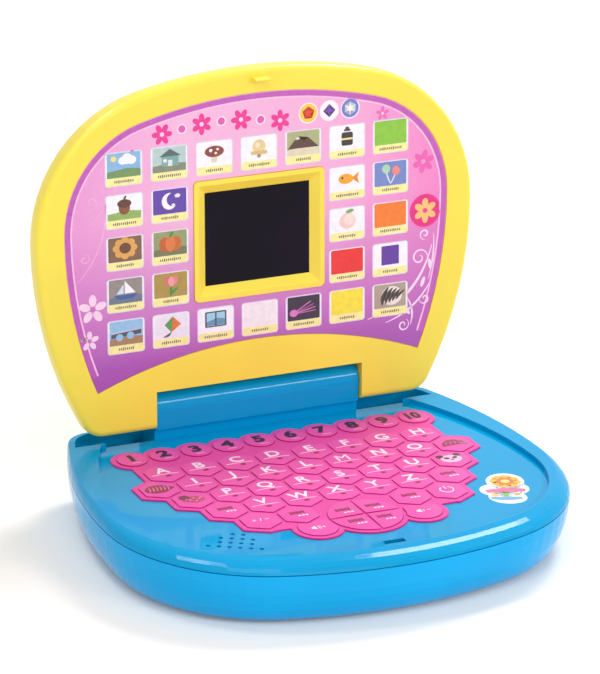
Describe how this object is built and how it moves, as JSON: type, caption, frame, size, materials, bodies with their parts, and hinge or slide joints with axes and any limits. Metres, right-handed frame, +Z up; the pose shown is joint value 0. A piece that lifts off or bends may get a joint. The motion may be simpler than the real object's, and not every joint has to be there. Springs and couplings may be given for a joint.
{
  "type": "toy laptop computer",
  "caption": "Children's toy laptop: rounded glossy base with a honeycomb letter keypad, and a hinged lid with a picture sheet around a small screen.",
  "frame": {"origin": "on the ground, under the middle of the toy's bounding box with its lid open", "axes": "+X to the user's right, +Y from the user towards the hinge, +Z up"},
  "size_m": [0.24, 0.202, 0.2184],
  "materials": {
    "blue_shell": "moulded, glossy",
    "blue_deck": "moulded, glossy",
    "yellow_shell": "moulded, satin gloss",
    "pink_frame": "moulded, satin gloss",
    "pink_key": "moulded, satin",
    "grey_rubber": "moulded silicone",
    "foot_rubber": "matt",
    "board": "solder-masked laminate",
    "speaker_black": "pressed cone in a frame",
    "battery_jacket": "printed sleeve",
    "spring_steel": "plated",
    "screw_steel": "plated",
    "pin_steel": "ground",
    "printed_sheet": "printed, laminated",
    "screen_lens": "dark, polished",
    "display_frame": "board with a moulded frame"
  },
  "bodies": {
    "base": {"lower_housing": "blue_shell", "upper_housing": "blue_deck", "keypad_frame": "pink_frame", "contact_mat": "grey_rubber", "main_board": "board", "speaker": "speaker_black", "battery_door": "blue_shell", "batteries": "battery_jacket", "battery_contacts": "spring_steel", "rubber_feet": "foot_rubber", "base_screws": "screw_steel", "hinge_pins": "pin_steel"},
    "lid": {"lid_front_shell": "yellow_shell", "lid_rear_shell": "yellow_shell", "picture_sheet": "printed_sheet", "screen_window": "screen_lens", "display_module": "display_frame", "lid_screws": "screw_steel"},
    "key_a": {"key_a": "pink_key"},
    "key_b": {"key_b": "pink_key"},
    "key_c": {"key_c": "pink_key"},
    "key_d": {"key_d": "pink_key"},
    "key_e": {"key_e": "pink_key"},
    "key_f": {"key_f": "pink_key"},
    "key_g": {"key_g": "pink_key"},
    "key_h": {"key_h": "pink_key"},
    "key_i": {"key_i": "pink_key"},
    "key_j": {"key_j": "pink_key"},
    "key_k": {"key_k": "pink_key"},
    "key_l": {"key_l": "pink_key"},
    "key_m": {"key_m": "pink_key"},
    "key_n": {"key_n": "pink_key"},
    "key_o": {"key_o": "pink_key"},
    "key_p": {"key_p": "pink_key"},
    "key_q": {"key_q": "pink_key"},
    "key_r": {"key_r": "pink_key"},
    "key_s": {"key_s": "pink_key"},
    "key_t": {"key_t": "pink_key"},
    "key_u": {"key_u": "pink_key"},
    "key_v": {"key_v": "pink_key"},
    "key_w": {"key_w": "pink_key"},
    "key_x": {"key_x": "pink_key"},
    "key_y": {"key_y": "pink_key"},
    "key_z": {"key_z": "pink_key"},
    "power_key": {"power_key": "pink_key"},
    "key_1": {"key_1": "pink_key"},
    "key_2": {"key_2": "pink_key"},
    "key_3": {"key_3": "pink_key"},
    "key_4": {"key_4": "pink_key"},
    "key_5": {"key_5": "pink_key"},
    "key_6": {"key_6": "pink_key"},
    "key_7": {"key_7": "pink_key"},
    "key_8": {"key_8": "pink_key"},
    "key_9": {"key_9": "pink_key"},
    "key_10": {"key_10": "pink_key"},
    "volume_up_key": {"volume_up_key": "pink_key"},
    "volume_down_key": {"volume_down_key": "pink_key"},
    "cursor_pad": {"cursor_pad": "pink_key"},
    "picture_keys": {"picture_keys": "pink_key"},
    "mode_keys": {"mode_keys": "pink_key"}
  },
  "joints": [
    {"name": "lid_hinge", "type": "hinge", "parent": "base", "child": "lid", "pos_m": [0, 0.08374, 0.0477], "axis": [1, 0, 0], "range_deg": [-26, 94.1]},
    {"name": "press_a", "type": "slide", "parent": "base", "child": "key_a", "axis": [0, 0, 1], "range_m": [-0.001, 0], "stiffness_N_per_m": 400, "springref_m": 0.0003},
    {"name": "press_b", "type": "slide", "parent": "base", "child": "key_b", "axis": [0, 0, 1], "range_m": [-0.001, 0], "stiffness_N_per_m": 400, "springref_m": 0.0003},
    {"name": "press_c", "type": "slide", "parent": "base", "child": "key_c", "axis": [0, 0, 1], "range_m": [-0.001, 0], "stiffness_N_per_m": 400, "springref_m": 0.0003},
    {"name": "press_d", "type": "slide", "parent": "base", "child": "key_d", "axis": [0, 0, 1], "range_m": [-0.001, 0], "stiffness_N_per_m": 400, "springref_m": 0.0003},
    {"name": "press_e", "type": "slide", "parent": "base", "child": "key_e", "axis": [0, 0, 1], "range_m": [-0.001, 0], "stiffness_N_per_m": 400, "springref_m": 0.0003},
    {"name": "press_f", "type": "slide", "parent": "base", "child": "key_f", "axis": [0, 0, 1], "range_m": [-0.001, 0], "stiffness_N_per_m": 400, "springref_m": 0.0003},
    {"name": "press_g", "type": "slide", "parent": "base", "child": "key_g", "axis": [0, 0, 1], "range_m": [-0.001, 0], "stiffness_N_per_m": 400, "springref_m": 0.0003},
    {"name": "press_h", "type": "slide", "parent": "base", "child": "key_h", "axis": [0, 0, 1], "range_m": [-0.001, 0], "stiffness_N_per_m": 400, "springref_m": 0.0003},
    {"name": "press_i", "type": "slide", "parent": "base", "child": "key_i", "axis": [0, 0, 1], "range_m": [-0.001, 0], "stiffness_N_per_m": 400, "springref_m": 0.0003},
    {"name": "press_j", "type": "slide", "parent": "base", "child": "key_j", "axis": [0, 0, 1], "range_m": [-0.001, 0], "stiffness_N_per_m": 400, "springref_m": 0.0003},
    {"name": "press_k", "type": "slide", "parent": "base", "child": "key_k", "axis": [0, 0, 1], "range_m": [-0.001, 0], "stiffness_N_per_m": 400, "springref_m": 0.0003},
    {"name": "press_l", "type": "slide", "parent": "base", "child": "key_l", "axis": [0, 0, 1], "range_m": [-0.001, 0], "stiffness_N_per_m": 400, "springref_m": 0.0003},
    {"name": "press_m", "type": "slide", "parent": "base", "child": "key_m", "axis": [0, 0, 1], "range_m": [-0.001, 0], "stiffness_N_per_m": 400, "springref_m": 0.0003},
    {"name": "press_n", "type": "slide", "parent": "base", "child": "key_n", "axis": [0, 0, 1], "range_m": [-0.001, 0], "stiffness_N_per_m": 400, "springref_m": 0.0003},
    {"name": "press_o", "type": "slide", "parent": "base", "child": "key_o", "axis": [0, 0, 1], "range_m": [-0.001, 0], "stiffness_N_per_m": 400, "springref_m": 0.0003},
    {"name": "press_p", "type": "slide", "parent": "base", "child": "key_p", "axis": [0, 0, 1], "range_m": [-0.001, 0], "stiffness_N_per_m": 400, "springref_m": 0.0003},
    {"name": "press_q", "type": "slide", "parent": "base", "child": "key_q", "axis": [0, 0, 1], "range_m": [-0.001, 0], "stiffness_N_per_m": 400, "springref_m": 0.0003},
    {"name": "press_r", "type": "slide", "parent": "base", "child": "key_r", "axis": [0, 0, 1], "range_m": [-0.001, 0], "stiffness_N_per_m": 400, "springref_m": 0.0003},
    {"name": "press_s", "type": "slide", "parent": "base", "child": "key_s", "axis": [0, 0, 1], "range_m": [-0.001, 0], "stiffness_N_per_m": 400, "springref_m": 0.0003},
    {"name": "press_t", "type": "slide", "parent": "base", "child": "key_t", "axis": [0, 0, 1], "range_m": [-0.001, 0], "stiffness_N_per_m": 400, "springref_m": 0.0003},
    {"name": "press_u", "type": "slide", "parent": "base", "child": "key_u", "axis": [0, 0, 1], "range_m": [-0.001, 0], "stiffness_N_per_m": 400, "springref_m": 0.0003},
    {"name": "press_v", "type": "slide", "parent": "base", "child": "key_v", "axis": [0, 0, 1], "range_m": [-0.001, 0], "stiffness_N_per_m": 400, "springref_m": 0.0003},
    {"name": "press_w", "type": "slide", "parent": "base", "child": "key_w", "axis": [0, 0, 1], "range_m": [-0.001, 0], "stiffness_N_per_m": 400, "springref_m": 0.0003},
    {"name": "press_x", "type": "slide", "parent": "base", "child": "key_x", "axis": [0, 0, 1], "range_m": [-0.001, 0], "stiffness_N_per_m": 400, "springref_m": 0.0003},
    {"name": "press_y", "type": "slide", "parent": "base", "child": "key_y", "axis": [0, 0, 1], "range_m": [-0.001, 0], "stiffness_N_per_m": 400, "springref_m": 0.0003},
    {"name": "press_z", "type": "slide", "parent": "base", "child": "key_z", "axis": [0, 0, 1], "range_m": [-0.001, 0], "stiffness_N_per_m": 400, "springref_m": 0.0003},
    {"name": "power_key_press", "type": "slide", "parent": "base", "child": "power_key", "axis": [0, 0, 1], "range_m": [-0.001, 0], "stiffness_N_per_m": 400, "springref_m": 0.0003},
    {"name": "press_1", "type": "slide", "parent": "base", "child": "key_1", "axis": [0, 0, 1], "range_m": [-0.001, 0], "stiffness_N_per_m": 400, "springref_m": 0.0003},
    {"name": "press_2", "type": "slide", "parent": "base", "child": "key_2", "axis": [0, 0, 1], "range_m": [-0.001, 0], "stiffness_N_per_m": 400, "springref_m": 0.0003},
    {"name": "press_3", "type": "slide", "parent": "base", "child": "key_3", "axis": [0, 0, 1], "range_m": [-0.001, 0], "stiffness_N_per_m": 400, "springref_m": 0.0003},
    {"name": "press_4", "type": "slide", "parent": "base", "child": "key_4", "axis": [0, 0, 1], "range_m": [-0.001, 0], "stiffness_N_per_m": 400, "springref_m": 0.0003},
    {"name": "press_5", "type": "slide", "parent": "base", "child": "key_5", "axis": [0, 0, 1], "range_m": [-0.001, 0], "stiffness_N_per_m": 400, "springref_m": 0.0003},
    {"name": "press_6", "type": "slide", "parent": "base", "child": "key_6", "axis": [0, 0, 1], "range_m": [-0.001, 0], "stiffness_N_per_m": 400, "springref_m": 0.0003},
    {"name": "press_7", "type": "slide", "parent": "base", "child": "key_7", "axis": [0, 0, 1], "range_m": [-0.001, 0], "stiffness_N_per_m": 400, "springref_m": 0.0003},
    {"name": "press_8", "type": "slide", "parent": "base", "child": "key_8", "axis": [0, 0, 1], "range_m": [-0.001, 0], "stiffness_N_per_m": 400, "springref_m": 0.0003},
    {"name": "press_9", "type": "slide", "parent": "base", "child": "key_9", "axis": [0, 0, 1], "range_m": [-0.001, 0], "stiffness_N_per_m": 400, "springref_m": 0.0003},
    {"name": "press_10", "type": "slide", "parent": "base", "child": "key_10", "axis": [0, 0, 1], "range_m": [-0.001, 0], "stiffness_N_per_m": 400, "springref_m": 0.0003},
    {"name": "volume_up_key_press", "type": "slide", "parent": "base", "child": "volume_up_key", "axis": [0, 0, 1], "range_m": [-0.001, 0], "stiffness_N_per_m": 400, "springref_m": 0.0003},
    {"name": "volume_down_key_press", "type": "slide", "parent": "base", "child": "volume_down_key", "axis": [0, 0, 1], "range_m": [-0.001, 0], "stiffness_N_per_m": 400, "springref_m": 0.0003},
    {"name": "cursor_pad_press", "type": "slide", "parent": "base", "child": "cursor_pad", "axis": [0, 0, 1], "range_m": [-0.001, 0], "stiffness_N_per_m": 400, "springref_m": 0.0003},
    {"name": "picture_keys_press", "type": "slide", "parent": "base", "child": "picture_keys", "axis": [0, 0, 1], "range_m": [-0.001, 0], "stiffness_N_per_m": 400, "springref_m": 0.0003},
    {"name": "mode_keys_press", "type": "slide", "parent": "base", "child": "mode_keys", "axis": [0, 0, 1], "range_m": [-0.001, 0], "stiffness_N_per_m": 400, "springref_m": 0.0003}
  ]
}
